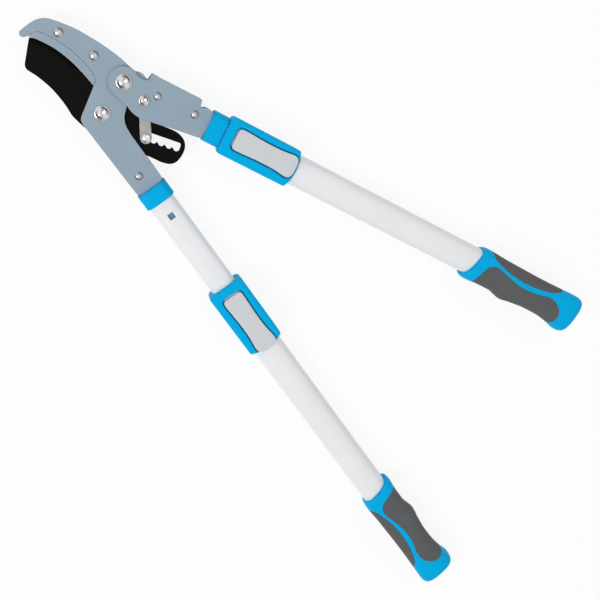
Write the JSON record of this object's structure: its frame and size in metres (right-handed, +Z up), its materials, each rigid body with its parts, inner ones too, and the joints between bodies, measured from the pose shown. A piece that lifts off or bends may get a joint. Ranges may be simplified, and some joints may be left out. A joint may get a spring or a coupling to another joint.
{
  "type": "telescopic anvil lopper",
  "caption": "Long handled tree lopper: ratchet anvil head, two telescopic arms with rocking lock levers in moulded clamps, soft-inlay grips. Jaws shut, one arm drawn out.",
  "frame": {"origin": "middle of the bounding box in plan, on the surface the tool lies on, under its clamps and grips", "axes": "+X along the anvil arm from the jaws to its grip, +Y towards the moving arm, +Z up out of the flat tool, the side with the lock levers"},
  "size_m": [0.795, 0.3576, 0.0353],
  "materials": {
    "plate_paint": "grey-blue powder paint, fine satin texture",
    "blade_coating": "black low-friction coating, semi-matt",
    "link_steel": "bare steel, dull",
    "fasteners": "bright nickel plate",
    "blue_plastic": "moulded plastic, semi-gloss",
    "tube_paint": "white powder coat on drawn aluminium tube, smooth",
    "lever_plastic": "silver-grey moulded plastic, satin",
    "grip_rubber": "soft overmoulded rubber, matt",
    "plug_plastic": "blue-grey moulded plastic",
    "spring_steel": "spring steel strip"
  },
  "bodies": {
    "head": {"anvil": "plate_paint", "anvil_arm_collar": "blue_plastic", "anvil_arm_core": "plate_paint", "anvil_arm_inner_tube": "tube_paint", "anvil_arm_rivet": "fasteners", "anvil_arm_tube_end_bush": "plug_plastic", "anvil_arm_tube_plug": "plug_plastic", "anvil_rivet_inner": "fasteners", "anvil_rivet_outer": "fasteners", "blade_bolt": "fasteners", "blade_nut": "fasteners", "head_plate_front": "plate_paint", "head_plate_rear": "plate_paint", "pivot_bolt": "fasteners", "pivot_bush": "link_steel", "pivot_nut": "fasteners"},
    "blade": {"blade": "blade_coating"},
    "power_arm": {"link_nut": "fasteners", "link_screw": "fasteners", "power_arm_collar": "blue_plastic", "power_arm_inner_tube": "tube_paint", "power_arm_rivet_inner": "fasteners", "power_arm_rivet_outer": "fasteners", "power_arm_tube_end_bush": "plug_plastic", "power_arm_tube_plug": "plug_plastic", "power_plate_front": "plate_paint", "power_plate_rear": "plate_paint", "power_tang": "plate_paint"},
    "link": {"link_front": "link_steel", "link_pin": "fasteners", "link_rear": "link_steel"},
    "anvil_arm_outer": {"anvil_arm_clamp_housing": "blue_plastic", "anvil_arm_grip_back_inlay": "grip_rubber", "anvil_arm_grip_finger_inlay": "grip_rubber", "anvil_arm_grip_shell": "blue_plastic", "anvil_arm_lever_pin": "fasteners", "anvil_arm_lever_spring": "spring_steel", "anvil_arm_outer_tube": "tube_paint"},
    "power_arm_outer": {"power_arm_clamp_housing": "blue_plastic", "power_arm_grip_back_inlay": "grip_rubber", "power_arm_grip_finger_inlay": "grip_rubber", "power_arm_grip_shell": "blue_plastic", "power_arm_lever_pin": "fasteners", "power_arm_lever_spring": "spring_steel", "power_arm_outer_tube": "tube_paint"},
    "anvil_arm_lever": {"anvil_arm_lever": "lever_plastic"},
    "power_arm_lever": {"power_arm_lever": "lever_plastic"}
  },
  "joints": [
    {"name": "power_arm_pivot", "type": "hinge", "parent": "head", "child": "power_arm", "pos_m": [-0.30509, -0.1103, 0.017], "axis": [0, 0, 1], "range_deg": [0, 34]},
    {"name": "blade_pivot", "type": "hinge", "parent": "head", "child": "blade", "pos_m": [-0.29269, -0.1455, 0.017], "axis": [0, 0, 1], "range_deg": [0, 17.2]},
    {"name": "link_pivot", "type": "hinge", "parent": "power_arm", "child": "link", "pos_m": [-0.27983, -0.1047, 0.017], "axis": [0, 0, 1], "range_deg": [-35.9, 0]},
    {"name": "anvil_arm_slide", "type": "slide", "parent": "head", "child": "anvil_arm_outer", "axis": [1, 0, 0], "range_m": [-0.112, 0.112]},
    {"name": "power_arm_slide", "type": "slide", "parent": "power_arm", "child": "power_arm_outer", "axis": [0.8813, 0.4726, 0], "range_m": [0, 0.224]},
    {"name": "anvil_arm_lever_rock", "type": "hinge", "parent": "anvil_arm_outer", "child": "anvil_arm_lever", "pos_m": [-0.03079, -0.1506, 0.03185], "axis": [0, 1, 0], "range_deg": [-4, 4], "stiffness_Nm_per_rad": 3, "deforming": ["anvil_arm_lever_spring"]},
    {"name": "power_arm_lever_rock", "type": "hinge", "parent": "power_arm_outer", "child": "power_arm_lever", "pos_m": [-0.16866, -0.03715, 0.03185], "axis": [-0.4726, 0.8813, 0], "range_deg": [-4, 4], "stiffness_Nm_per_rad": 3, "deforming": ["power_arm_lever_spring"]}
  ],
  "couplings": [
    {"joint": "blade_pivot", "follows": "power_arm_pivot", "ratio": 0.5038},
    {"joint": "link_pivot", "follows": "power_arm_pivot", "ratio": -1.0535}
  ]
}
